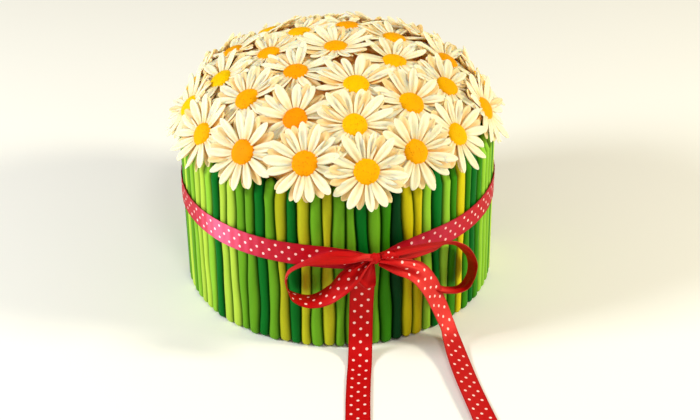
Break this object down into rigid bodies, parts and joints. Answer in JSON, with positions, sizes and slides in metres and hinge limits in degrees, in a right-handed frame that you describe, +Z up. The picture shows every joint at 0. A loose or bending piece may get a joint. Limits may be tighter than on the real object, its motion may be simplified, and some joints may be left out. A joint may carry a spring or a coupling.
{
  "type": "daisy bouquet cake",
  "caption": "Round domed celebration cake dressed as a tied bunch: upright green sugar-paste stems round the side, white daisies over the top, and a ribbon with a bow.",
  "frame": {"origin": "middle of the cake's flat underside, on the surface it rests on", "axes": "+Z up through the middle of the dome; -Y towards the viewer of the bow, +X to that viewer's right"},
  "size_m": [0.2337, 0.3121, 0.1757],
  "materials": {
    "icing": "soft matte icing",
    "stem_paste": "satin sugar paste in mixed greens",
    "petal_paste": "matte sugar paste",
    "centre_paste": "matte sugar paste, pricked",
    "ribbon_satin": "satin with white pin dots"
  },
  "bodies": {
    "root": {"cake_body": "icing", "stems_1": "stem_paste", "stems_2": "stem_paste", "stems_3": "stem_paste", "stems_4": "stem_paste", "stems_5": "stem_paste", "stems_6": "stem_paste", "stems_7": "stem_paste", "stems_8": "stem_paste", "petals_crown": "petal_paste", "petals_middle_1": "petal_paste", "petals_middle_2": "petal_paste", "petals_middle_3": "petal_paste", "petals_rim_1": "petal_paste", "petals_rim_2": "petal_paste", "petals_rim_3": "petal_paste", "petals_rim_4": "petal_paste", "centre_crown_1": "centre_paste", "centre_crown_2": "centre_paste", "centre_crown_3": "centre_paste", "centre_crown_4": "centre_paste", "centre_crown_5": "centre_paste", "centre_crown_6": "centre_paste", "centre_crown_7": "centre_paste", "centre_crown_8": "centre_paste", "centre_middle_1_1": "centre_paste", "centre_middle_1_2": "centre_paste", "centre_middle_1_3": "centre_paste", "centre_middle_1_4": "centre_paste", "centre_middle_2_1": "centre_paste", "centre_middle_2_2": "centre_paste", "centre_middle_2_3": "centre_paste", "centre_middle_2_4": "centre_paste", "centre_middle_3_1": "centre_paste", "centre_middle_3_2": "centre_paste", "centre_middle_3_3": "centre_paste", "centre_middle_3_4": "centre_paste", "centre_rim_1_1": "centre_paste", "centre_rim_1_2": "centre_paste", "centre_rim_1_3": "centre_paste", "centre_rim_1_4": "centre_paste", "centre_rim_2_1": "centre_paste", "centre_rim_2_2": "centre_paste", "centre_rim_2_3": "centre_paste", "centre_rim_2_4": "centre_paste", "centre_rim_3_1": "centre_paste", "centre_rim_3_2": "centre_paste", "centre_rim_3_3": "centre_paste", "centre_rim_3_4": "centre_paste", "centre_rim_4_1": "centre_paste", "centre_rim_4_2": "centre_paste", "centre_rim_4_3": "centre_paste", "centre_rim_4_4": "centre_paste", "ribbon_band": "ribbon_satin", "ribbon_knot": "ribbon_satin", "ribbon_loop_left": "ribbon_satin", "ribbon_loop_right": "ribbon_satin", "ribbon_tail_left": "ribbon_satin", "ribbon_tail_right": "ribbon_satin"}
  },
  "joints": []
}
